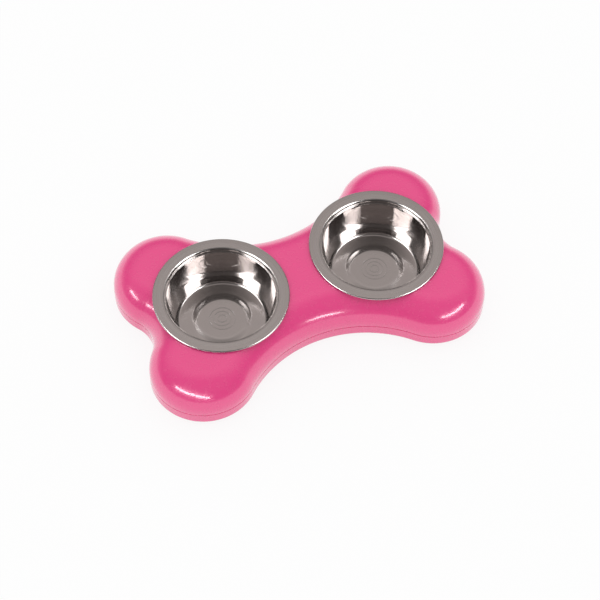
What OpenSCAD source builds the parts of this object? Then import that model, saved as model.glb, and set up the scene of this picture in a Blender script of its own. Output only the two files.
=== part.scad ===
// Double pet bowl: a two-part plastic body with four round lobes and two lift-out steel bowls.
// Millimetres. The origin is on the table under the middle of the body, +X along it, +Z up.

/* [Bowls] */
// Outside diameter of a bowl across its rolled rim
rim_d = 140; // [136:1:142]
// Distance between the centres of the two bowls
bowl_pitch = 172; // [168:1:176]
// Depth from the rim down to the floor inside
bowl_depth = 46; // [38:1:48]
// Width of the flat flange from the rim's edge to the bend
flange_w = 10; // [9:0.5:11]
// Radius of the bend between flange and wall, on the visible side
bend_r = 3; // [2:0.5:3.5]
// Depth from the rim down to the stacking step inside
step_drop = 5; // [4.5:0.5:8]
// Width of the stacking step
step_w = 0.8; // [0.5:0.1:2]
// Diameter of the flat floor inside
floor_d = 88; // [84:1:94]
// Inside radius between wall and floor
corner_r = 3; // [2:0.5:9]
// Diameter of the raised middle of the floor
middle_d = 50; // [40:1:56]
// Width of the slope round the raised middle
slope_w = 6; // [4:0.5:8]
// Height of the raised middle
middle_h = 1.6; // [0.8:0.1:2.4]
// Thickness of the steel sheet
sheet_t = 0.7; // [0.5:0.1:0.9]
// Diameter of the rolled edge
curl_d = 2.5; // [2.2:0.1:3]

/* [Body outline] */
// Distance between lobe centres along the body
lobe_pitch_x = 253; // [250:1:258]
// Distance between lobe centres across the body
lobe_pitch_y = 111; // [106:1:116]
// Diameter of a lobe
lobe_d = 110.5; // [108:0.5:114]
// Radius of the hollow curve at each end
end_curve_r = 37; // [32:1:44]
// Radius of the hollow curve along each side
waist_curve_r = 128; // [115:1:145]

/* [Body section] */
// Room between a bowl's underside and the ribs of the tray's floor
bowl_room = 1.2; // [0.4:0.1:3]
// Radius of the rounded shoulder
shoulder_r = 31.5; // [28:0.5:32]
// Height of the seam between shell and tray above the table
seam_h = 19.2; // [17:0.2:20]
// Radius of the tray's bottom edge
tray_edge_r = 7; // [5:0.5:8]
// How far the flat underside cuts into that rounded edge
edge_trim = 0.4; // [0.2:0.1:0.8]
// Wall thickness of the shell
wall_t = 2.8; // [2.2:0.1:3]
// Wall thickness of the tray
tray_wall_t = 3.4; // [3.3:0.1:4]
// Thickness of the tray's floor
floor_t = 3; // [2.5:0.1:4]

/* [Seam] */
// Height of the shadow groove under the seam
groove_h = 0.6; // [0.3:0.1:1]
// Depth of the shadow groove
groove_depth = 0.7; // [0.3:0.1:1.2]
// Height of the register lip above the seam
lip_h = 2.4; // [1.5:0.1:2.6]
// Thickness of the register lip
lip_t = 1.4; // [1:0.1:2]
// How far the lip's root reaches below the seam
lip_root = 3; // [2:0.5:5]
// Clearance between lip and shell wall
lip_clear = 0.25; // [0.15:0.05:0.3]

/* [Bowl seats] */
// Gap between the body's flat top and the rolled edge above it
rim_gap = 0.3; // [0.2:0.1:1]
// How far the opening stands back from the flange's bend
seat_back = 1.5; // [1:0.1:2.2]
// Thickness of the seat ring and its skirt
seat_t = 3; // [2:0.1:3.4]
// How far the skirt reaches down from the flat top
skirt_h = 13.2; // [12:0.2:18]

/* [Screws] */
// Thread diameter
screw_d = 3; // [2.6:0.1:3.4]
// Length under the head
screw_len = 14; // [11:0.5:16]
// Diameter of the head
head_d = 6.4; // [5.6:0.1:6.8]
// Height of the head
head_h = 2.2; // [1.8:0.1:2.8]
// Width of the cross recess's arms
cross_w = 0.9; // [0.6:0.1:1.1]
// Span of the cross recess
cross_span = 3.8; // [3:0.1:4.4]
// Depth of the cross recess
cross_depth = 1.2; // [0.8:0.1:1.5]
// Length of the tapered tip
tip_len = 2; // [1:0.5:3]
// Diameter of its blunt end
tip_d = 0.8; // [0.4:0.1:1.2]
// Radial clearance of the thread in its core hole
thread_clear = 0.1; // [0.05:0.05:0.2]
// Radial clearance of the head in its well
head_clear = 0.6; // [0.4:0.1:0.8]
// Height of the head's seat above the table
head_seat_h = 11; // [9:0.5:12]
// Height of the joint between post and boss above the table
boss_joint_h = 16; // [14:0.5:18]
// Diameter of a boss in the shell
boss_d = 8; // [7:0.5:9]
// Diameter of a post in the tray
post_d = 11; // [10.5:0.5:12]
// How much deeper the core hole is than the thread
core_spare = 2; // [1:0.5:4]
// How far a lobe's screw stands out from the lobe's centre along each axis
screw_reach = 4; // [3:0.5:6]
// Distance between the two screws of the waist
waist_screw_pitch = 48; // [40:1:60]
// Thickness of a boss's ribs
gusset_t = 1.2; // [1:0.1:2]
// Span of a boss's ribs
gusset_w = 15; // [12:0.5:17]
// How far a boss's ribs reach down from the flat top
gusset_h = 20; // [12:1:28]

/* [Feet] */
// Diameter of a foot
foot_d = 18; // [14:0.5:20]
// How far a foot stands out under the tray
foot_h = 2.5; // [2:0.1:4]
// Depth of a foot's pocket
foot_sink = 1.2; // [0.8:0.1:1.5]
// Radial clearance of a foot in its pocket
foot_clear = 0.3; // [0.2:0.1:0.5]
// Bevel round the foot's bottom edge
foot_bevel = 0.8; // [0.4:0.1:1.2]
// Diameter of a foot's stem
stem_d = 5; // [4:0.1:6]
// Radial clearance of the stem in its hole
stem_clear = 0.2; // [0.1:0.1:0.4]
// Diameter of the barb that holds the stem
barb_d = 7.4; // [7:0.1:9]
// Diameter of the barb's blunt end
barb_tip_d = 4; // [3:0.1:5]
// Height of the barb
barb_h = 3; // [2:0.1:4]
// How far a foot stands out from its lobe's centre along each axis
foot_reach = 21; // [17:0.5:23]

/* [Tray floor] */
// Width of the flat band round the underside
band_w = 12; // [9:0.5:14]
// Depth of the sunk field inside the band
field_depth = 0.8; // [0.4:0.1:1.2]
// Width of the level ring round each pocket and well
ring_w = 3; // [1.5:0.5:4]
// Thickness of the ribs on the floor's inner side
rib_t = 1.5; // [1:0.1:2.5]
// Height of the ribs
rib_h = 2.6; // [1.5:0.1:3]

/* [Hidden] */
$fn = 128;
over = 0.5; // overrun of every cut
half = 1 / 2;

rim_r = rim_d * half;
curl_r = curl_d * half;
// The tray's floor carries the height of the bowls, and they set the height of the flat top
floor_top = foot_h + floor_t;
floor_z = floor_top + rib_h + bowl_room + sheet_t;
rim_z = floor_z + bowl_depth;
seat_z = rim_z - sheet_t;
body_h = rim_z - curl_d - rim_gap;
bend_at = rim_r - flange_w;
bend_z = rim_z - bend_r;
mouth_r = bend_at - bend_r;
step_z = rim_z - step_drop;
floor_r = floor_d * half;
corner_z = floor_z + corner_r;
middle_r = middle_d * half;
// Lean of the bowl's straight wall, which runs from the step's edge and touches the corner's curve
wall_run = [mouth_r - step_w - floor_r, step_z - corner_z];
wall_lean = atan2(wall_run.x, wall_run.y) - asin(corner_r / norm(wall_run));

lobe_x = lobe_pitch_x * half;
lobe_y = lobe_pitch_y * half;
lobe_r = lobe_d * half;
// Centres of the hollow curves, which touch the lobes
end_x = lobe_x + sqrt(pow(lobe_r + end_curve_r, 2) - pow(lobe_y, 2));
waist_y = lobe_y + sqrt(pow(lobe_r + waist_curve_r, 2) - pow(lobe_x, 2));
// The shoulder's round is at most as high as the shell
shoulder = min(shoulder_r, body_h - seam_h);
shoulder_z = body_h - shoulder;
cut_h = body_h + 2 * over;
edge_z = foot_h + tray_edge_r - edge_trim;

well_r = bend_at + seat_back;
seat_r = well_r + seat_t;
head_well_r = head_d * half + head_clear;
core_r = screw_d * half + thread_clear;
post_r = post_d * half;
lobe_corners = [for (x = [-1, 1], y = [-1, 1]) [x, y]];
screw_places = concat(
    [for (c = lobe_corners) [c.x * (lobe_x + screw_reach), c.y * (lobe_y + screw_reach)]],
    [for (y = [-1, 1]) [0, y * waist_screw_pitch * half]]);
foot_places = [for (c = lobe_corners) [c.x * (lobe_x + foot_reach), c.y * (lobe_y + foot_reach)]];

pink = [0.91, 0.33, 0.54];
steel = [0.74, 0.73, 0.72];
zinc = [0.66, 0.66, 0.63];
rubber = [0.13, 0.13, 0.14];

// What a straight side takes away from the outline inwards, as a section
module straight_waste(inset) {
    translate([-over, -over])
        square([inset + over, cut_h]);
}

// The same for the shell: straight up to the shoulder, then round it
module shell_waste(inset) {
    translate([-over, -over])
        square([inset + over, shoulder_z + over]);
    difference() {
        translate([-over, shoulder_z])
            square([shoulder + over, shoulder + over]);
        translate([shoulder, shoulder_z])
            circle(shoulder - inset);
    }
}

// The same for the tray: round the bottom edge, then straight up
module tray_waste(inset) {
    straight_waste(inset);
    difference() {
        translate([-over, -over])
            square([tray_edge_r + over, edge_z + over]);
        translate([tray_edge_r, edge_z])
            circle(tray_edge_r - inset);
    }
}

// Takes a hollow curve out of the body, with its own radius
module hollow_curve(curve_r) {
    rotate_extrude() {
        translate([0, -over])
            square([curve_r, cut_h]);
        translate([curve_r, 0])
            children();
    }
}

// The body's outline between two heights. The child draws what its section takes away.
module outline_form(low, high) {
    difference() {
        translate([0, 0, low])
            linear_extrude(high - low)
                polygon([
                    [end_x, 0], [lobe_x, lobe_y], [0, waist_y], [-lobe_x, lobe_y],
                    [-end_x, 0], [-lobe_x, -lobe_y], [0, -waist_y], [lobe_x, -lobe_y]]);
        for (side = [-1, 1]) {
            translate([side * end_x, 0, 0])
                hollow_curve(end_curve_r)
                    children();
            translate([0, side * waist_y, 0])
                hollow_curve(waist_curve_r)
                    children();
        }
    }
    for (corner = lobe_corners)
        translate([corner.x * lobe_x, corner.y * lobe_y, 0])
            rotate_extrude()
                difference() {
                    translate([0, low])
                        square([lobe_r, high - low]);
                    translate([lobe_r, 0])
                        mirror([1, 0])
                            children();
                }
}

// A ring that follows the outline, between two distances from it
module outline_ring(outer_inset, inner_inset, low, high) {
    difference() {
        outline_form(low, high)
            straight_waste(outer_inset);
        outline_form(low - over, high + over)
            straight_waste(inner_inset);
    }
}

// Places its child at both bowl centres
module at_bowls() {
    for (side = [-1, 1])
        translate([side * bowl_pitch * half, 0, 0])
            children();
}

module at_screws() {
    for (place = screw_places)
        translate(place)
            children();
}

module at_feet() {
    for (place = foot_places)
        translate(place)
            children();
}

// A boss hangs from the flat top, with two crossed ribs at its root
module boss() {
    top = body_h - wall_t + over;
    translate([0, 0, boss_joint_h])
        cylinder(r = boss_d * half, h = top - boss_joint_h);
    for (turn = [0, 90])
        rotate([0, 0, turn])
            translate([-gusset_w * half, -gusset_t * half, body_h - gusset_h])
                cube([gusset_w, gusset_t, top - body_h + gusset_h]);
}

module top_shell() {
    color(pink)
        difference() {
            union() {
                difference() {
                    outline_form(seam_h, body_h)
                        shell_waste(0);
                    outline_form(seam_h - over, body_h - wall_t)
                        shell_waste(wall_t);
                }
                at_bowls()
                    translate([0, 0, body_h - skirt_h])
                        cylinder(r = seat_r, h = seat_z - body_h + skirt_h);
                at_screws()
                    boss();
            }
            at_bowls()
                translate([0, 0, body_h - skirt_h - over])
                    cylinder(r = well_r, h = skirt_h + curl_d + 2 * over);
            at_screws()
                translate([0, 0, boss_joint_h - over])
                    cylinder(r = core_r, h = head_seat_h + screw_len + core_spare - boss_joint_h + over);
        }
}

// The ribs run from wall to wall over the lobes' centres and across the waist
module tray_ribs() {
    rib_base = floor_top - over;
    long = lobe_x + lobe_r - wall_t;
    wide = lobe_y + lobe_r - wall_t;
    waist = waist_y - waist_curve_r - wall_t;
    for (side = [-1, 1]) {
        translate([-long, side * lobe_y - rib_t * half, rib_base])
            cube([2 * long, rib_t, rib_h + over]);
        translate([side * lobe_x - rib_t * half, -wide, rib_base])
            cube([rib_t, 2 * wide, rib_h + over]);
    }
    translate([-rib_t * half, -waist, rib_base])
        cube([rib_t, 2 * waist, rib_h + over]);
}

// The underside's sunk field, which leaves a level ring round each pocket and well
module sunk_field() {
    difference() {
        outline_form(foot_h - over, foot_h + field_depth)
            straight_waste(band_w);
        at_feet()
            cylinder(r = foot_d * half + foot_clear + ring_w, h = edge_z);
        at_screws()
            cylinder(r = head_well_r + ring_w, h = edge_z);
    }
}

module base_tray() {
    lip_out = wall_t + lip_clear;
    color(pink)
        difference() {
            union() {
                difference() {
                    union() {
                        outline_form(foot_h, seam_h - groove_h)
                            tray_waste(0);
                        outline_form(edge_z, seam_h)
                            straight_waste(groove_depth);
                    }
                    outline_form(floor_top, seam_h + over)
                        straight_waste(tray_wall_t);
                }
                outline_ring(lip_out, lip_out + lip_t, seam_h - lip_root, seam_h + lip_h);
                tray_ribs();
                at_screws()
                    translate([0, 0, foot_h])
                        cylinder(r = post_r, h = boss_joint_h - foot_h);
            }
            sunk_field();
            at_screws() {
                translate([0, 0, foot_h - over])
                    cylinder(r = head_well_r, h = head_seat_h - foot_h + over);
                cylinder(r = core_r, h = boss_joint_h + over);
            }
            at_feet() {
                translate([0, 0, foot_h - over])
                    cylinder(r = foot_d * half + foot_clear, h = foot_sink + over);
                cylinder(r = stem_d * half + stem_clear, h = floor_top + over);
            }
        }
}

// The space inside a bowl as a section, grown outwards by the sheet's thickness when asked
module dish(grow) {
    out = [cos(wall_lean), -sin(wall_lean)];
    corner = [floor_r, corner_z];
    edge = corner + wall_run;
    bottom = floor_z - grow;
    difference() {
        union() {
            polygon([
                [0, bottom], [floor_r, bottom], corner, corner + (corner_r + grow) * out,
                edge + grow * out, edge + [0, over], [0, step_z + over]]);
            translate([0, step_z - grow])
                square([mouth_r + grow, step_drop + grow + over]);
            translate([0, bend_z])
                square([bend_at, bend_r + over]);
            intersection() {
                translate(corner)
                    circle(corner_r + grow);
                translate([0, bottom])
                    square([rim_r, bowl_depth]);
            }
        }
        translate([bend_at, bend_z])
            circle(bend_r - grow);
        polygon([
            [0, bottom - over], [0, bottom + middle_h], [middle_r, bottom + middle_h],
            [middle_r + slope_w, bottom], [middle_r + slope_w, bottom - over]]);
    }
}

// The flange's edge is rolled down and under, and its end stops short of the flange
module curl() {
    translate([rim_r - curl_r, rim_z - curl_r])
        difference() {
            circle(curl_r);
            circle(curl_r - sheet_t);
            translate([-curl_r, 0])
                square([curl_r, curl_r - sheet_t]);
        }
}

module bowl() {
    color(steel)
        rotate_extrude() {
            intersection() {
                difference() {
                    dish(sheet_t);
                    dish(0);
                }
                translate([0, floor_z - sheet_t])
                    square([rim_r, bowl_depth + sheet_t]);
            }
            translate([bend_at, seat_z])
                square([flange_w - curl_r, sheet_t]);
            curl();
        }
}

module foot() {
    color(rubber) {
        cylinder(r1 = foot_d * half - foot_bevel, r2 = foot_d * half, h = foot_bevel);
        translate([0, 0, foot_bevel])
            cylinder(r = foot_d * half, h = foot_h + foot_sink - foot_bevel);
        translate([0, 0, foot_h])
            cylinder(r = stem_d * half, h = floor_t + barb_h * half);
        translate([0, 0, floor_top])
            cylinder(r1 = barb_d * half, r2 = barb_tip_d * half, h = barb_h);
    }
}

module screw() {
    head_z = head_seat_h - head_h;
    color(zinc)
        difference() {
            union() {
                translate([0, 0, head_z])
                    cylinder(r = head_d * half, h = head_h);
                translate([0, 0, head_z])
                    cylinder(r = screw_d * half, h = head_h + screw_len - tip_len);
                translate([0, 0, head_seat_h + screw_len - tip_len])
                    cylinder(r1 = screw_d * half, r2 = tip_d * half, h = tip_len);
            }
            for (turn = [0, 90])
                rotate([0, 0, turn])
                    translate([-cross_span * half, -cross_w * half, head_z - over])
                        cube([cross_span, cross_w, cross_depth + over]);
        }
}

module bowl_left() {
    translate([-bowl_pitch * half, 0, 0])
        bowl();
}

module bowl_right() {
    translate([bowl_pitch * half, 0, 0])
        bowl();
}

top_shell();
base_tray();
bowl_left();
bowl_right();
translate(foot_places[0]) foot();  // foot_left_front
translate(foot_places[1]) foot();  // foot_left_back
translate(foot_places[2]) foot();  // foot_right_front
translate(foot_places[3]) foot();  // foot_right_back
translate(screw_places[0]) screw();  // screw_left_front
translate(screw_places[1]) screw();  // screw_left_back
translate(screw_places[2]) screw();  // screw_right_front
translate(screw_places[3]) screw();  // screw_right_back
translate(screw_places[4]) screw();  // screw_waist_front
translate(screw_places[5]) screw();  // screw_waist_back
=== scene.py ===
"""Looks of the double pet bowl: a glossy lobed body in two mouldings, two steel bowls, feet and screws."""
import math

import bmesh
import bpy
import numpy as np
from mathutils import Matrix, Vector

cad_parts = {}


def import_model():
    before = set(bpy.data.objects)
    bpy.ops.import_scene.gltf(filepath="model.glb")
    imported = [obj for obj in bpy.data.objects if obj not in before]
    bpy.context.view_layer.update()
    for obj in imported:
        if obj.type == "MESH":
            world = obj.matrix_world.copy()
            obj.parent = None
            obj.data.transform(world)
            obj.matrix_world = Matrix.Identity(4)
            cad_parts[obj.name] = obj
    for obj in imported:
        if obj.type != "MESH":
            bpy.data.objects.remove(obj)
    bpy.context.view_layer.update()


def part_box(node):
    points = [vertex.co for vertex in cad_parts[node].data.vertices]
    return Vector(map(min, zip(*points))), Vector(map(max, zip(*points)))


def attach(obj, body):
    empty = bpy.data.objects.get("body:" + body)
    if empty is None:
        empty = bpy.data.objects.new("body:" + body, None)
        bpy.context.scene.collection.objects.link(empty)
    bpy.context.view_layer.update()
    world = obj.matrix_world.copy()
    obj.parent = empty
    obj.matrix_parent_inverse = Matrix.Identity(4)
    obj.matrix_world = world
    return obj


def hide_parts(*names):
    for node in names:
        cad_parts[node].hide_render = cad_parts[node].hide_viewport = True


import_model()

MM = 0.001
OVER = 1 * MM  # overrun of every cut
TAU = 2 * math.pi
QUARTER = math.pi / 2

# Fineness of the meshes
FINE_STEP = math.radians(3)  # largest turn between two points of an arc
COARSE_STEP = math.radians(15)  # the same for an arc of SMALL_R or less
SMALL_R = 2 * MM
REST_SHARE = 0.3  # of an arc's radius: distance of an extra point beside it, so that flats shade flat
REST_MOST = 0.6 * MM
REST_GAP = 0.02 * MM
MITRE_LEAST = 0.5  # cosine below which the mitre of an offset corner grows no more
ON_AXIS = 1e-7
LOBE_STEPS = 104
END_STEPS = 44
WAIST_STEPS = 96
TRAY_EDGE_STEPS = 24
BOWL_STEPS = 256
CURL_STEPS = 36
TURNED_STEPS = 64
SCREW_STEPS = 48
CORE_STEPS = 32
THREAD_STEPS = 24  # in one turn of the thread
SHARP_ANGLE = 35  # degrees from which an edge is shaded as sharp
BOWL_SHARP_ANGLE = 40
SCREW_SHARP_ANGLE = 30

# Places and main sizes come from the frame
tray_low, tray_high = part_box("base_tray")
shell_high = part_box("top_shell")[1]
bowl_low, bowl_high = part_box("bowl_right")
foot_low, foot_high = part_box("foot_right_back")
screw_low, screw_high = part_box("screw_right_back")
BOWL_X = (bowl_low.x + bowl_high.x) / 2
RIM_R = (bowl_high.x - bowl_low.x) / 2
RIM_Z = bowl_high.z
SHEET = RIM_Z - shell_high.z
SIDES = {"left": -1, "right": 1}
ENDS = ("front", "back")

# Outline of the body: four lobes joined by hollow curves
LOBE_R = 55.25 * MM
LOBE_X = tray_high.x - LOBE_R
LOBE_Y = tray_high.y - LOBE_R
END_R = 37 * MM
WAIST_R = 128 * MM
END_X = LOBE_X + math.sqrt((LOBE_R + END_R) ** 2 - LOBE_Y**2)
WAIST_Y = LOBE_Y + math.sqrt((LOBE_R + WAIST_R) ** 2 - LOBE_X**2)
END_LEAN = math.atan2(LOBE_Y, END_X - LOBE_X)
WAIST_LEAN = math.atan2(LOBE_X, WAIST_Y - LOBE_Y)

# Section of the body
TOP_Z = 53.2 * MM
SHOULDER_R = 31.5 * MM
SEAM_Z = 19.2 * MM
WALL = 2.8 * MM
EDGE = 0.35 * MM  # small round on moulded edges
FLAT_RIM = 1.5 * MM  # strip of a flat between its round and its cap
TRAY_WALL = 3.4 * MM
TRAY_Z = tray_low.z
FLOOR_TOP = 5.5 * MM
TRAY_EDGE_R = 7 * MM
EDGE_TRIM = 0.4 * MM  # depth that the tray's flat underside cuts off its edge's arc
GROOVE_H = 0.6 * MM
GROOVE_DEPTH = 0.7 * MM
LIP_CLEAR = 0.25 * MM
LIP_T = 1.4 * MM
LIP_H = 2.4 * MM
LIP_ROOT = 3 * MM
BAND_W = 12 * MM
FIELD_DEPTH = 0.8 * MM
RING_W = 3 * MM
RIB_T = 1.5 * MM
RIB_H = 2.6 * MM

# Seats, bosses and posts
WELL_R = 61.5 * MM
SEAT_T = 3 * MM
SKIRT_LOW = 40 * MM
BOSS_R = 4 * MM
POST_R = 5.5 * MM
BOSS_JOINT_Z = 16 * MM
CORE_R = 1.6 * MM
CORE_TOP = 27 * MM
HEAD_SEAT_Z = 11 * MM
HEAD_WELL_R = 3.8 * MM
GUSSET_T = 1.2 * MM
GUSSET_W = 15 * MM
GUSSET_H = 20 * MM

# Bowl
FLANGE_W = 10 * MM
BEND_R = 3 * MM
STEP_DROP = 5 * MM
STEP_W = 0.8 * MM
STEP_ROUND = 0.6 * MM
STEP_INNER_ROUND = 0.3 * STEP_ROUND
BOWL_DEPTH = 46 * MM
FLOOR_Z = RIM_Z - BOWL_DEPTH
FLOOR_R = 44 * MM
CORNER_R = 3 * MM
MIDDLE_R = 25 * MM
SLOPE_W = 6 * MM
MIDDLE_H = 1.6 * MM
SLOPE_ROUND = 12 * MM
TURNED_RINGS = (4.5 * MM, 9 * MM, 13.5 * MM)
RING_HALF = 0.6 * MM
RING_DEPTH = 0.09 * MM
RING_ROUND = 0.3 * MM
CURL_R = 1.25 * MM

# Feet and screws
FOOT_R = (foot_high.x - foot_low.x) / 2
FOOT_SINK = 1.2 * MM
FOOT_TOP = TRAY_Z + FOOT_SINK
FOOT_CLEAR = 0.3 * MM
FOOT_BEVEL = 0.8 * MM
HUB_R = 4 * MM
HUB_RISE = 0.4 * MM  # hollow in the middle of the sole
STEM_R = 2.5 * MM
STEM_CLEAR = 0.2 * MM
BARB_R = 3.7 * MM
BARB_TIP_R = 2 * MM
HEAD_R = (screw_high.x - screw_low.x) / 2
HEAD_H = 2.2 * MM
HEAD_FLAT_SHARE = 0.45  # of the head's radius
HEAD_CROWN_SHARE = 0.35  # of the head's height, as is the next
HEAD_ROUND_SHARE = 0.4
THREAD_R = 1.5 * MM
THREAD_ROOT_R = 1.1 * MM
THREAD_PITCH = 1.3 * MM
THREAD_HALF = 0.4 * MM
THREAD_BITE = 0.15 * MM
TIP_H = 2 * MM
TIP_R = 0.4 * MM
CROSS_W = 0.9 * MM
CROSS_SPAN = 3.8 * MM
CROSS_DEPTH = 1.2 * MM


def middle(node):
    """Where a node stands, seen from above."""
    low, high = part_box(node)
    return Vector(((low.x + high.x) / 2, (low.y + high.y) / 2, 0))


foot_places = {f"{side}_{end}": middle(f"foot_{side}_{end}") for side in SIDES for end in ENDS}
screw_places = {
    f"{side}_{end}": middle(f"screw_{side}_{end}") for side in [*SIDES, "waist"] for end in ENDS}
bowl_places = {side: Vector((sign * BOWL_X, 0, 0)) for side, sign in SIDES.items()}


# Sections

def rounded(corners):
    """A section's points from its corners (across, up, radius), with an arc where the radius isn't 0."""
    spots = [Vector(corner[:2]) for corner in corners]
    openings = [
        0 if i in (0, len(corners) - 1) or corners[i][2] == 0
        else (spots[i - 1] - spots[i]).angle(spots[i + 1] - spots[i]) for i in range(len(corners))]
    reaches = [
        corner[2] / math.tan(opening / 2) if opening else 0 for corner, opening in zip(corners, openings)]
    rests = [
        min(corner[2] * REST_SHARE, REST_MOST) if opening else 0
        for corner, opening in zip(corners, openings)]
    points = []
    for i, (here, opening, reach, rest) in enumerate(zip(spots, openings, reaches, rests)):
        if not opening:
            points.append(here)
            continue
        radius = corners[i][2]
        back, ahead = spots[i - 1] - here, spots[i + 1] - here
        room = [
            side.length - reach - reaches[j] > rest + rests[j] + REST_GAP
            for side, j in ((back, i - 1), (ahead, i + 1))]
        back.normalize()
        ahead.normalize()
        turn = math.pi - opening
        centre = here + (back + ahead).normalized() * (radius / math.sin(opening / 2))
        start = here + back * reach
        spoke = start - centre
        sense = 1 if back.cross(ahead) < 0 else -1
        steps = max(2, math.ceil(turn / (FINE_STEP if radius > SMALL_R else COARSE_STEP)))
        if room[0]:
            points.append(start + back * rest)
        for k in range(steps + 1):
            points.append(centre + Matrix.Rotation(sense * turn * k / steps, 2) @ spoke)
        if room[1]:
            points.append(here + ahead * (reach + rest))
    return [(p.x, p.y) for p in points]


def offset_path(points, distance):
    """The path moved sideways, to the right of its direction."""
    path = np.array(points)
    steps = np.diff(path, axis=0)
    steps /= np.linalg.norm(steps, axis=1)[:, None]
    along = np.vstack([steps[:1], steps[:-1] + steps[1:], steps[-1:]])
    along /= np.linalg.norm(along, axis=1)[:, None]
    side = np.column_stack([along[:, 1], -along[:, 0]])
    step_side = np.column_stack([steps[1:, 1], -steps[1:, 0]])
    spread = np.ones(len(path))
    spread[1:-1] = 1 / np.clip(np.sum(side[1:-1] * step_side, axis=1), MITRE_LEAST, 1)
    return path + side * (distance * spread)[:, None]


def arc(centre, radius, start, end, steps):
    """Points along an arc, without its last one."""
    return [
        (centre[0] + radius * math.cos(start + (end - start) * k / steps),
         centre[1] + radius * math.sin(start + (end - start) * k / steps))
        for k in range(steps)]


def outline(inset):
    """The body's outline, moved inwards by inset, counter-clockwise."""
    lobe, end, waist = LOBE_R - inset, END_R + inset, WAIST_R + inset
    points = []
    for sign, turn in ((1, 0), (-1, math.pi)):
        x, y = sign * LOBE_X, sign * LOBE_Y
        top, far = turn + QUARTER, turn + math.pi
        bottom = turn - QUARTER
        points += arc((x, y), lobe, turn - END_LEAN, top + WAIST_LEAN, LOBE_STEPS)
        points += arc((0, sign * WAIST_Y), waist, bottom + WAIST_LEAN, bottom - WAIST_LEAN, WAIST_STEPS)
        points += arc((-x, y), lobe, top - WAIST_LEAN, far + END_LEAN, LOBE_STEPS)
        points += arc((-sign * END_X, 0), end, turn + END_LEAN, turn - END_LEAN, END_STEPS)
    return points


# Solids

def solid(name, mesh):
    """An object from a bmesh, with its faces turned outwards."""
    bmesh.ops.recalc_face_normals(mesh, faces=mesh.faces)
    data = bpy.data.meshes.new(name)
    mesh.to_mesh(data)
    mesh.free()
    obj = bpy.data.objects.new(name, data)
    bpy.context.scene.collection.objects.link(obj)
    return obj


def skinned(name, rings):
    """A solid from rings of points, joined one to the next. Both ends are capped."""
    mesh = bmesh.new()
    rings = [[mesh.verts.new(point) for point in ring] for ring in rings]
    for low, high in zip(rings, rings[1:]):
        for i in range(len(low)):
            mesh.faces.new((low[i - 1], low[i], high[i], high[i - 1]))
    mesh.faces.new(rings[0])
    mesh.faces.new(rings[-1])
    return solid(name, mesh)


def swept(name, section):
    """A solid whose rings follow the outline at each (inset, height) of its section."""
    return skinned(name, [[(x, y, z) for x, y in outline(inset)] for inset, z in section])


def turned(name, section, steps=TURNED_STEPS):
    """A solid of revolution about Z. A section that starts on the axis ends on it, or else it is closed."""
    mesh = bmesh.new()
    rings = []
    for radius, z in section:
        if radius < ON_AXIS:
            rings.append([mesh.verts.new((0, 0, z))])
        else:
            rings.append([
                mesh.verts.new((radius * math.cos(TAU * k / steps), radius * math.sin(TAU * k / steps), z))
                for k in range(steps)])
    pairs = list(zip(rings, rings[1:]))
    if len(rings[0]) > 1:
        pairs.append((rings[-1], rings[0]))
    for low, high in pairs:
        for i in range(steps):
            if len(low) == 1:
                corners = (low[0], high[i], high[i - 1])
            elif len(high) == 1:
                corners = (low[i - 1], low[i], high[0])
            else:
                corners = (low[i - 1], low[i], high[i], high[i - 1])
            mesh.faces.new(corners)
    return solid(name, mesh)


def block(name, low, high):
    """A box between two corners, used for cuts and ribs."""
    mesh = bmesh.new()
    bmesh.ops.create_cube(mesh, size=1)
    low, high = Vector(low), Vector(high)
    for vert in mesh.verts:
        vert.co = Vector([(a + b) / 2 + c * (b - a) for a, b, c in zip(low, high, vert.co)])
    return solid(name, mesh)


def drum(name, radius, low, high, steps=TURNED_STEPS):
    """A round bar about Z, used for cuts, rings and posts."""
    return turned(name, [(0, low), (radius, low), (radius, high), (0, high)], steps)


def remove(obj):
    """Deletes an object with its mesh."""
    data = obj.data
    bpy.data.objects.remove(obj)
    bpy.data.meshes.remove(data)


def copies(obj, places):
    """Turns obj into one mesh of copies of itself at the places."""
    mesh = bmesh.new()
    for place in places:
        part = bmesh.new()
        part.from_mesh(obj.data)
        bmesh.ops.translate(part, verts=part.verts, vec=place)
        step = bpy.data.meshes.new("step")
        part.to_mesh(step)
        part.free()
        mesh.from_mesh(step)
        bpy.data.meshes.remove(step)
    name = obj.name
    remove(obj)
    return solid(name, mesh)


def combine(obj, operation, *tools):
    """Adds the tools to obj, or cuts them out of it."""
    for tool in tools:
        modifier = obj.modifiers.new("combine", "BOOLEAN")
        modifier.operation = operation
        modifier.solver = "MANIFOLD"
        modifier.object = tool
        bpy.context.view_layer.update()
        graph = bpy.context.evaluated_depsgraph_get()
        result = bpy.data.meshes.new_from_object(obj.evaluated_get(graph))
        obj.modifiers.clear()
        old = obj.data
        obj.data = result
        bpy.data.meshes.remove(old)
        remove(tool)
    return obj


def smooth(obj, angle=SHARP_ANGLE):
    """Shades obj smooth, apart from its edges of the angle or more."""
    obj.data.shade_smooth()
    obj.data.set_sharp_from_angle(angle=math.radians(angle))
    return obj


# Pieces

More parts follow.
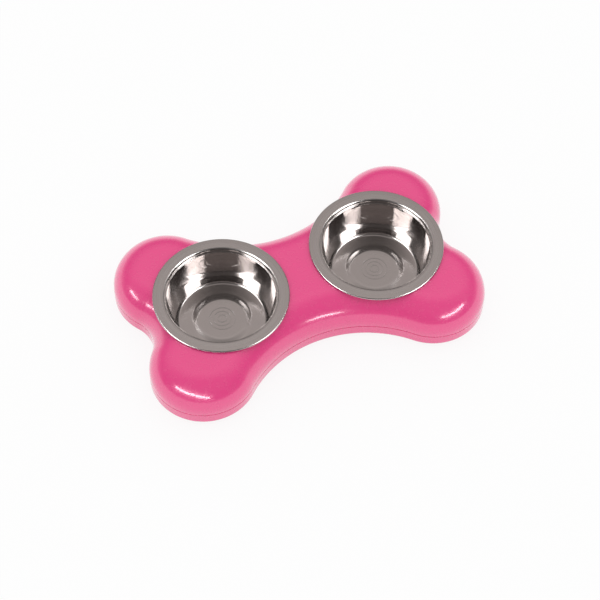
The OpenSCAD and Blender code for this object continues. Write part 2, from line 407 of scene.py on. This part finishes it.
def top_shell():
    """The upper moulding, with its collars and wells for the bowls, and its bosses with gussets."""
    inner, ceiling = SHOULDER_R + FLAT_RIM, TOP_Z - WALL
    collar_r, seat_z = WELL_R + SEAT_T, shell_high.z
    shell = swept("shell", rounded([
        (inner, TOP_Z, 0), (0, TOP_Z, SHOULDER_R), (0, SEAM_Z, EDGE), (WALL, SEAM_Z, EDGE),
        (WALL, ceiling, SHOULDER_R - WALL), (inner, ceiling, 0)]))
    collar = turned("collar", rounded([
        (0, SKIRT_LOW, 0), (collar_r, SKIRT_LOW, EDGE), (collar_r, seat_z, 2 * EDGE), (0, seat_z, 0)]),
        BOWL_STEPS)
    well = turned("well", rounded([
        (0, SKIRT_LOW - OVER, 0), (WELL_R + OVER, SKIRT_LOW - OVER, 0), (WELL_R, SKIRT_LOW, 0),
        (WELL_R, seat_z, EDGE), (WELL_R + OVER, seat_z, 0), (WELL_R + OVER, seat_z + OVER, 0),
        (0, seat_z + OVER, 0)]), BOWL_STEPS)
    boss = drum("boss", BOSS_R, BOSS_JOINT_Z, ceiling + OVER, SCREW_STEPS)
    for x, y in ((GUSSET_W / 2, GUSSET_T / 2), (GUSSET_T / 2, GUSSET_W / 2)):
        combine(boss, "UNION", block("rib", (-x, -y, TOP_Z - GUSSET_H), (x, y, ceiling + OVER)))
    core = drum("core", CORE_R, BOSS_JOINT_Z - OVER, CORE_TOP, CORE_STEPS)
    combine(shell, "UNION", copies(collar, bowl_places.values()), copies(boss, screw_places.values()))
    combine(shell, "DIFFERENCE", copies(well, bowl_places.values()), copies(core, screw_places.values()))
    return smooth(shell)


def tray_section():
    """From the middle of the underside round the wall and the lip to the middle of the tray's floor."""
    inner = BAND_W + FLAT_RIM
    lip_out = WALL + LIP_CLEAR
    lip_in = lip_out + LIP_T
    lip_top, root_z = SEAM_Z + LIP_H, SEAM_Z - LIP_ROOT
    groove_z = SEAM_Z - GROOVE_H
    field_z = TRAY_Z + FIELD_DEPTH
    edge_z = TRAY_Z + TRAY_EDGE_R - EDGE_TRIM
    edge_start = TRAY_EDGE_R - math.sqrt(TRAY_EDGE_R**2 - (edge_z - TRAY_Z) ** 2)
    edge = [
        (TRAY_EDGE_R - TRAY_EDGE_R * math.sin(a), edge_z - TRAY_EDGE_R * math.cos(a))
        for a in np.linspace(math.asin((TRAY_EDGE_R - edge_start) / TRAY_EDGE_R), QUARTER, TRAY_EDGE_STEPS)]
    underside = rounded([
        (inner, field_z, 0), (BAND_W, field_z, EDGE), (BAND_W, TRAY_Z, EDGE), (edge_start, TRAY_Z, 0)])
    inside = rounded([
        (0, edge_z + FLAT_RIM / 2, 0), (0, groove_z, EDGE / 2), (GROOVE_DEPTH, groove_z, 0),
        (GROOVE_DEPTH, SEAM_Z, 0), (lip_out, SEAM_Z, 0), (lip_out, lip_top, EDGE), (lip_in, lip_top, EDGE),
        (lip_in, root_z, 0), (TRAY_WALL, root_z, 0), (TRAY_WALL, FLOOR_TOP, 2 * EDGE), (inner, FLOOR_TOP, 0)])
    return underside + edge[1:] + inside


def base_tray():
    """The lower moulding, with its ribs, foot pockets and screw posts."""
    tray = swept("tray", tray_section())
    low, high = FLOOR_TOP - OVER, FLOOR_TOP + RIB_H
    long, wide = LOBE_X + LOBE_R - WALL, LOBE_Y + LOBE_R - WALL
    waist = WAIST_Y - WAIST_R - WALL
    half = RIB_T / 2
    along = block("along", (-long, -half, low), (long, half, high))
    across = block("across", (-half, -wide, low), (half, wide, high))
    brace = block("brace", (-half, -waist, low), (half, waist, high))
    pocket_r, stem_hole_r = FOOT_R + FOOT_CLEAR, STEM_R + STEM_CLEAR
    ring_top = TRAY_Z + FIELD_DEPTH + OVER
    foot_ring = drum("foot_ring", pocket_r + RING_W, TRAY_Z, ring_top)
    screw_ring = drum("screw_ring", HEAD_WELL_R + RING_W, TRAY_Z, ring_top)
    combine(
        tray, "UNION", copies(along, [Vector((0, sign * LOBE_Y, 0)) for sign in (-1, 1)]),
        copies(across, [Vector((sign * LOBE_X, 0, 0)) for sign in (-1, 1)]), brace,
        copies(foot_ring, foot_places.values()), copies(screw_ring, screw_places.values()),
        copies(drum("post", POST_R, TRAY_Z, BOSS_JOINT_Z), screw_places.values()))
    pocket = turned("pocket", rounded([
        (0, TRAY_Z - OVER, 0), (pocket_r, TRAY_Z - OVER, 0), (pocket_r, FOOT_TOP, 0),
        (stem_hole_r, FOOT_TOP, 0), (stem_hole_r, FLOOR_TOP + OVER, 0), (0, FLOOR_TOP + OVER, 0)]))
    screw_hole = turned("screw_hole", [
        (0, TRAY_Z - OVER), (HEAD_WELL_R, TRAY_Z - OVER), (HEAD_WELL_R, HEAD_SEAT_Z), (CORE_R, HEAD_SEAT_Z),
        (CORE_R, BOSS_JOINT_Z + OVER), (0, BOSS_JOINT_Z + OVER)])
    combine(
        tray, "DIFFERENCE", copies(pocket, foot_places.values()), copies(screw_hole, screw_places.values()))
    return smooth(tray)


def bowl_section():
    """The visible side of the sheet from the middle of the floor out to the end of the rolled edge."""
    mouth_r = RIM_R - FLANGE_W - BEND_R
    step_r, step_z = mouth_r - STEP_W, RIM_Z - STEP_DROP
    middle_z = FLOOR_Z + MIDDLE_H
    run_x, run_z = step_r - FLOOR_R, step_z - FLOOR_Z - CORNER_R
    lean = math.atan2(run_x, run_z) - math.asin(CORNER_R / math.hypot(run_x, run_z))
    wall_foot = step_r - (step_z - FLOOR_Z) * math.tan(lean)
    groove = (
        (-RING_HALF, 0), (-RING_HALF / 2, RING_DEPTH), (RING_HALF / 2, RING_DEPTH), (RING_HALF, 0))
    rings = [
        (ring + across, middle_z - depth, RING_ROUND) for ring in TURNED_RINGS for across, depth in groove]
    path = rounded([
        (0, middle_z, 0), *rings, (MIDDLE_R, middle_z, SLOPE_ROUND),
        (MIDDLE_R + SLOPE_W, FLOOR_Z, SLOPE_ROUND), (wall_foot, FLOOR_Z, CORNER_R),
        (step_r, step_z, STEP_ROUND), (mouth_r, step_z, STEP_INNER_ROUND), (mouth_r, RIM_Z, BEND_R),
        (RIM_R - CURL_R, RIM_Z, 0)])
    centre = (RIM_R - CURL_R, RIM_Z - CURL_R)
    return path + arc(centre, CURL_R, QUARTER, -math.pi, CURL_STEPS)[1:]


def bowl(name):
    """A bowl pressed from one sheet."""
    face = bowl_section()
    back = [tuple(p) for p in offset_path(face, SHEET)]
    back[0] = (0, back[0][1])
    return smooth(turned(name, face + back[::-1], BOWL_STEPS), BOWL_SHARP_ANGLE)


def foot(name):
    """A rubber foot: a sole with a shallow hollow, and a stem with a barb."""
    return smooth(turned(name, rounded([
        (0, HUB_RISE, 0), (HUB_R, HUB_RISE, EDGE), (HUB_R + HUB_RISE, 0, EDGE / 2),
        (FOOT_R - FOOT_BEVEL, 0, FOOT_BEVEL), (FOOT_R, FOOT_BEVEL, FOOT_BEVEL / 2), (FOOT_R, FOOT_TOP, 0),
        (STEM_R, FOOT_TOP, 0), (STEM_R, FLOOR_TOP, 0), (BARB_R, FLOOR_TOP, EDGE / 2),
        (BARB_TIP_R, foot_high.z, EDGE), (0, foot_high.z, 0)])))


def thread(low, high):
    """A rolled thread as a closed ridge that winds up the shank and runs out at both ends."""
    count = round((high - low) / THREAD_PITCH * THREAD_STEPS)
    base_r = THREAD_ROOT_R - THREAD_BITE
    rings = []
    for k in range(count + 1):
        turn, z = TAU * k / THREAD_STEPS, low + THREAD_PITCH * k / THREAD_STEPS
        crest_r = THREAD_R if 0 < k < count else THREAD_ROOT_R
        corners = ((base_r, z - THREAD_HALF), (crest_r, z), (base_r, z + THREAD_HALF))
        rings.append([(r * math.cos(turn), r * math.sin(turn), h) for r, h in corners])
    return skinned("thread", rings)


def screw(name):
    """Pan head upside down in its well, a cross recess and a rolled thread up to a blunt tip."""
    head_z = HEAD_SEAT_Z - HEAD_H
    tip_z = screw_high.z
    head = turned(name, rounded([
        (0, head_z, 0), (HEAD_R * HEAD_FLAT_SHARE, head_z, 0),
        (HEAD_R, head_z + HEAD_H * HEAD_CROWN_SHARE, HEAD_H * HEAD_ROUND_SHARE),
        (HEAD_R, HEAD_SEAT_Z, EDGE / 2), (THREAD_ROOT_R, HEAD_SEAT_Z, 0), (THREAD_ROOT_R, tip_z - TIP_H, 0),
        (TIP_R, tip_z, 0), (0, tip_z, 0)]), SCREW_STEPS)
    for x, y in ((CROSS_SPAN / 2, CROSS_W / 2), (CROSS_W / 2, CROSS_SPAN / 2)):
        combine(head, "DIFFERENCE", block("slot", (-x, -y, head_z - OVER), (x, y, head_z + CROSS_DEPTH)))
    combine(head, "UNION", thread(HEAD_SEAT_Z + THREAD_PITCH, tip_z - TIP_H))
    return smooth(head, SCREW_SHARP_ANGLE)


# Materials: two values are the ends of a mottled range

PINK = ((0.835, 0.051, 0.238), (0.855, 0.056, 0.25))
PINK_ROUGHNESS = (0.22, 0.32)
STEEL = (0.56, 0.53, 0.52, 1)
# Roughness of the steel from the floor up to the rim, by share of the bowl's depth
STEEL_ROUGHNESS = ((0.0, 0.15), (0.012, 0.2), (0.036, 0.19), (0.06, 0.04), (0.97, 0.04), (0.995, 0.25))
STEEL_BANDS = (0.7, 1.3)  # shares of that roughness in the turned bands
RUBBER = ((0.018, 0.018, 0.02), (0.04, 0.04, 0.043))
ZINC = (0.5, 0.5, 0.48, 1)
ZINC_ROUGHNESS = (0.22, 0.42)


def make_material(name, **fixed):
    """A material with its shader's fixed inputs by name, its node tree, its shader and the object's place."""
    made = bpy.data.materials.new(name)
    made.use_nodes = True
    tree = made.node_tree
    shader = tree.nodes["Principled BSDF"]
    for key, value in fixed.items():
        shader.inputs[key.replace("_", " ")].default_value = value
    return made, tree, shader, node(tree, "ShaderNodeTexCoord").outputs["Object"]


def feed(tree, socket, value):
    """Links an input to another node's output, or sets it to a plain value."""
    if isinstance(value, bpy.types.NodeSocket):
        tree.links.new(value, socket)
    else:
        socket.default_value = value


def node(tree, kind, **settings):
    """A node with settings by attribute, and inputs by name where they are given as in_name."""
    made = tree.nodes.new(kind)
    for key, value in settings.items():
        if key.startswith("in_"):
            feed(tree, made.inputs[key.removeprefix("in_").replace("_", " ")], value)
        else:
            setattr(made, key, value)
    return made


def maths(tree, operation, *values):
    """The result of an operation on two values."""
    made = node(tree, "ShaderNodeMath", operation=operation)
    for socket, value in zip(made.inputs, values):
        feed(tree, socket, value)
    return made.outputs["Value"]


def remap(tree, value, before, after):
    """A value moved from one range to another."""
    return node(
        tree, "ShaderNodeMapRange", in_Value=value, in_From_Min=before[0], in_From_Max=before[1],
        in_To_Min=after[0], in_To_Max=after[1]).outputs["Result"]


def noise(tree, place, scale, detail):
    """Noise with scale waves in a metre."""
    return node(tree, "ShaderNodeTexNoise", in_Vector=place, in_Scale=scale, in_Detail=detail).outputs["Fac"]


def ramp(tree, share, stops):
    """A colour by share, from stops of (position, colour)."""
    made = node(tree, "ShaderNodeValToRGB", in_Fac=share)
    elements = made.color_ramp.elements
    while len(elements) < len(stops):
        elements.new(0.5)
    for element, (position, colour) in zip(elements, stops):
        element.position = position
        element.color = (*colour, 1)
    return made.outputs["Color"]


def relief(tree, shader, height, strength, distance):
    """Gives the shader a bump of that distance at most."""
    bump = node(tree, "ShaderNodeBump", in_Height=height, in_Strength=strength, in_Distance=distance)
    tree.links.new(bump.outputs["Normal"], shader.inputs["Normal"])


def plastic():
    """Glossy moulded plastic, faintly clouded and with a trace of orange peel."""
    made, tree, shader, place = make_material(
        "pink_plastic", IOR=1.5, Specular_IOR_Level=0.8, Coat_Weight=1.0, Coat_Roughness=0.07)
    cloud = noise(tree, place, 9.0, 3.0)
    tree.links.new(ramp(tree, cloud, ((0, PINK[0]), (1, PINK[1]))), shader.inputs["Base Color"])
    wear = noise(tree, place, 160.0, 5.0)
    tree.links.new(remap(tree, wear, (0.35, 0.75), PINK_ROUGHNESS), shader.inputs["Roughness"])
    relief(tree, shader, noise(tree, place, 320.0, 2.0), 0.25, 0.02 * MM)
    return made


def steel():
    """Turned and polished sheet: a mirror on the wall, satin on the flange and floor, fine rings all over."""
    made, tree, shader, place = make_material("bowl_steel", Metallic=1.0, Base_Color=STEEL)
    parts = node(tree, "ShaderNodeSeparateXYZ", in_Vector=place).outputs
    flat = node(tree, "ShaderNodeCombineXYZ", in_X=parts["X"], in_Y=parts["Y"]).outputs["Vector"]
    radius = node(tree, "ShaderNodeVectorMath", operation="LENGTH", in_Vector=flat).outputs["Value"]
    rings = node(tree, "ShaderNodeCombineXYZ", in_X=radius, in_Z=parts["Z"]).outputs["Vector"]
    height = remap(tree, parts["Z"], (FLOOR_Z, RIM_Z), (0, 1))
    satin = ramp(tree, height, [(position, [level] * 3) for position, level in STEEL_ROUGHNESS])
    bands = remap(tree, noise(tree, rings, 260.0, 2.0), (0.3, 0.7), STEEL_BANDS)
    tree.links.new(maths(tree, "MULTIPLY", satin, bands), shader.inputs["Roughness"])
    relief(tree, shader, noise(tree, rings, 420.0, 1.0), 0.2, 0.01 * MM)
    return made


def rubber():
    """Matte black rubber with a fine grain."""
    made, tree, shader, place = make_material("foot_rubber", Roughness=0.62)
    grain = noise(tree, place, 900.0, 4.0)
    tree.links.new(ramp(tree, grain, ((0, RUBBER[0]), (1, RUBBER[1]))), shader.inputs["Base Color"])
    relief(tree, shader, grain, 0.4, 0.05 * MM)
    return made


def zinc():
    """Zinc plating with cloudy gloss."""
    made, tree, shader, place = make_material("screw_zinc", Metallic=1.0, Base_Color=ZINC)
    cloud = noise(tree, place, 700.0, 4.0)
    tree.links.new(remap(tree, cloud, (0, 1), ZINC_ROUGHNESS), shader.inputs["Roughness"])
    return made


def dress(obj, finish, body, slot, *nodes):
    """Gives a piece its material and its body, and hides the nodes that it stands for. The slot is not used.
    """
    obj.data.materials.clear()
    obj.data.materials.append(finish)
    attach(obj, body)
    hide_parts(*nodes)
    return obj


def build():
    """Makes every piece, and returns the body's pieces and the bowls."""
    pink, metal, black, plated = plastic(), steel(), rubber(), zinc()
    body_pieces = [
        dress(top_shell(), pink, "body", "body_plastic", "top_shell"),
        dress(base_tray(), pink, "body", "body_plastic", "base_tray")]
    bowl_pieces = []
    for side, place in bowl_places.items():
        piece = bowl(f"{side}_bowl")
        piece.location = place
        bowl_pieces.append(dress(piece, metal, f"{side}_bowl", "bowl_steel", f"bowl_{side}"))
    for where, place in foot_places.items():
        piece = foot(f"{where}_foot")
        piece.location = place
        body_pieces.append(dress(piece, black, "body", "foot_rubber", f"foot_{where}"))
    for where, place in screw_places.items():
        piece = screw(f"{where}_screw")
        piece.location = place
        body_pieces.append(dress(piece, plated, "body", "screw_zinc", f"screw_{where}"))
    return body_pieces, bowl_pieces


# Camera, found by fitting the body's outline and both rims to the photograph

FOCAL_PX = 1804.5
IMAGE_PX = 600
SENSOR_MM = 36
CLIP_START, CLIP_END = 0.1, 100
DISTANCE = 1.8989
ELEVATION = math.radians(55.543)
TURN = math.radians(22.891)
ROLL = math.radians(0.999)
AIM = Vector((-1.079 * MM, 0.724 * MM, 0))


def camera():
    """The camera at the photograph's viewing angle."""
    data = bpy.data.cameras.new("camera")
    data.sensor_width = SENSOR_MM
    data.lens = FOCAL_PX / IMAGE_PX * SENSOR_MM
    data.clip_start = CLIP_START
    data.clip_end = CLIP_END
    eye = bpy.data.objects.new("camera", data)
    bpy.context.scene.collection.objects.link(eye)
    back = Vector((0, -math.cos(ELEVATION), math.sin(ELEVATION)))
    turn = Matrix.Rotation(-TURN, 3, "Z")
    aim = turn @ -AIM
    look = (-(turn @ back)).to_track_quat("-Z", "Y").to_matrix()
    look = look @ Matrix.Rotation(ROLL, 3, "Z")
    eye.matrix_world = Matrix.Translation(aim + turn @ back * DISTANCE) @ look.to_4x4()
    bpy.context.scene.camera = eye


# Stage and light: levels are shares of white, and angles are in degrees from the camera's side

FLOOR_HALF = 12
FLOOR_COLOUR = (0.9, 0.9, 0.9, 1)
FLOOR_GLOW = 0.88
WHITE = (1, 1, 1, 1)
# What gloss sees of the room, by the sine of the elevation
ROOM = (
    (0.0, 0.80), (0.14, 0.42), (0.3, 0.12), (0.45, 0.15), (0.65, 0.38), (0.82, 0.52), (1.0, 0.62))
ROOM_TINT = (1.0, 0.91, 0.88)
NEAR_SHARE = 0.25  # of those levels on the camera's side
NEAR_FADE = (-0.15, 0.35)  # cosines from the far bearing between which the room dims
BOX_DISTANCE = 2.0
STRIP_DISTANCE = 0.3
GRID_ANGLE = 12
# On each side of the bowls: name, azimuth, elevation, width, height and radiance
BOWL_BOXES = (("tall", 64, 36, 32, 28, 5.5), ("top", 84, 54, 42, 8, 7.0))
# On the body: name, spot aimed at in mm, first and last bearing, number of boxes, their height, radiance
STREAKS = (
    ("left_lobe", (-165, 36, 46), (-89, 28), (-63, 28), 2, 7, 13.0),
    ("front_lobe", (-152, -92, 43), (-59, 26), (-15, 28), 4, 8, 15.0),
    ("front_lobe_end", (-143, -100, 42), (-15, 27), (14, 17), 3, 8, 15.0),
    ("waist", (3, -54, 41), (24, 14), (42, 16), 2, 6, 13.0),
    ("right_lobe", (128, -101, 44), (18, 26), (76, 31), 5, 8, 12.0))


def bearing(azimuth, elevation):
    """A direction given in degrees from the camera's side."""
    a, e = math.radians(azimuth) - TURN, math.radians(elevation)
    return Vector((math.sin(a) * math.cos(e), -math.cos(a) * math.cos(e), math.sin(e)))


def floor():
    """A plain pale floor. The camera and reflections see it near white, with the object's shadow on it."""
    mesh = bmesh.new()
    bmesh.ops.create_grid(mesh, x_segments=1, y_segments=1, size=FLOOR_HALF)
    obj = solid("floor", mesh)
    made = bpy.data.materials.new("floor")
    made.use_nodes = True
    tree = made.node_tree
    tree.nodes.clear()
    matte = node(tree, "ShaderNodeBsdfDiffuse", in_Color=FLOOR_COLOUR)
    glow = node(tree, "ShaderNodeEmission", in_Color=WHITE, in_Strength=1.0)
    rays = node(tree, "ShaderNodeLightPath").outputs
    seen = rays["Is Camera Ray"]
    for kind in ("Is Glossy Ray", "Is Transmission Ray"):
        seen = maths(tree, "MAXIMUM", seen, rays[kind])
    mix = node(tree, "ShaderNodeMixShader", in_Fac=maths(tree, "MULTIPLY", seen, FLOOR_GLOW))
    tree.links.new(matte.outputs["BSDF"], mix.inputs[1])
    tree.links.new(glow.outputs["Emission"], mix.inputs[2])
    node(tree, "ShaderNodeOutputMaterial", in_Surface=mix.outputs["Shader"])
    obj.data.materials.append(made)


def world():
    """An even white fill. Gloss sees a room instead, pale at the horizon, dark above it, paler overhead."""
    made = bpy.data.worlds.new("world")
    bpy.context.scene.world = made
    made.use_nodes = True
    tree = made.node_tree
    sight = node(tree, "ShaderNodeTexCoord").outputs["Generated"]
    height = node(tree, "ShaderNodeSeparateXYZ", in_Vector=sight).outputs["Z"]
    room = ramp(
        tree, height, [(position, [level * tint for tint in ROOM_TINT]) for position, level in ROOM])
    away = node(tree, "ShaderNodeVectorMath", operation="DOT_PRODUCT", in_Vector=sight)
    away.inputs[1].default_value = -bearing(0, 0)
    share = remap(tree, away.outputs["Value"], NEAR_FADE, (NEAR_SHARE, 1))
    dimmed = node(tree, "ShaderNodeVectorMath", operation="SCALE", in_Vector=room, in_Scale=share)
    glossy = node(tree, "ShaderNodeLightPath").outputs["Is Glossy Ray"]
    level = node(
        tree, "ShaderNodeMix", data_type="RGBA", in_Factor=glossy, in_A=WHITE, in_B=dimmed.outputs["Vector"])
    tree.links.new(level.outputs["Result"], tree.nodes["Background"].inputs["Color"])


def softbox(
        name, azimuth, elevation, width, height, radiance, receivers, distance=BOX_DISTANCE, aim=Vector(),
        grid=None):
    """A lamp sized by angle, for the gloss of some pieces alone. A grid is the half angle of its beam."""
    data = bpy.data.lights.new(name, "AREA")
    data.shape = "RECTANGLE"
    data.size = 2 * distance * math.tan(math.radians(width / 2))
    data.size_y = 2 * distance * math.tan(math.radians(height / 2))
    data.energy = radiance * math.pi * data.size * data.size_y
    if grid:
        half = math.radians(grid)
        data.spread = 2 * half
        data.energy *= (math.tan(half) - half) / math.tan(half)
    obj = bpy.data.objects.new(name, data)
    bpy.context.scene.collection.objects.link(obj)
    away = bearing(azimuth, elevation)
    obj.location = aim + away * distance
    obj.rotation_mode = "QUATERNION"
    obj.rotation_quaternion = (-away).to_track_quat("-Z", "Y")
    obj.visible_diffuse = False
    obj.light_linking.receiver_collection = receivers


def strip(name, spot, start, end, count, height, radiance, receivers):
    """Small gridded softboxes side by side from one bearing to another, all aimed at one spot of the body."""
    aim = Vector([value * MM for value in spot])
    width = (end[0] - start[0]) / count
    for k in range(count):
        share = (k + 0.5) / count
        azimuth, elevation = (a + (b - a) * share for a, b in zip(start, end))
        softbox(
            f"{name}_{k}", azimuth, elevation, width, height, radiance, receivers, STRIP_DISTANCE, aim,
            GRID_ANGLE)


def group(name, pieces):
    """A collection of pieces, for lamps that light nothing else."""
    made = bpy.data.collections.new(name)
    for piece in pieces:
        made.objects.link(piece)
    return made


def lights(body_pieces, bowl_pieces):
    """Large softboxes for the polished bowls, and short strips for the streaks on the body's shoulders."""
    body, bowls = group("body_pieces", body_pieces), group("bowl_pieces", bowl_pieces)
    for side, sign in SIDES.items():
        for name, azimuth, *rest in BOWL_BOXES:
            softbox(f"{side}_{name}", sign * azimuth, *rest, bowls)
    for streak in STREAKS:
        strip(*streak, body)


made_pieces = build()
camera()
floor()
world()
lights(*made_pieces)
bpy.context.scene.view_settings.view_transform = "Standard"
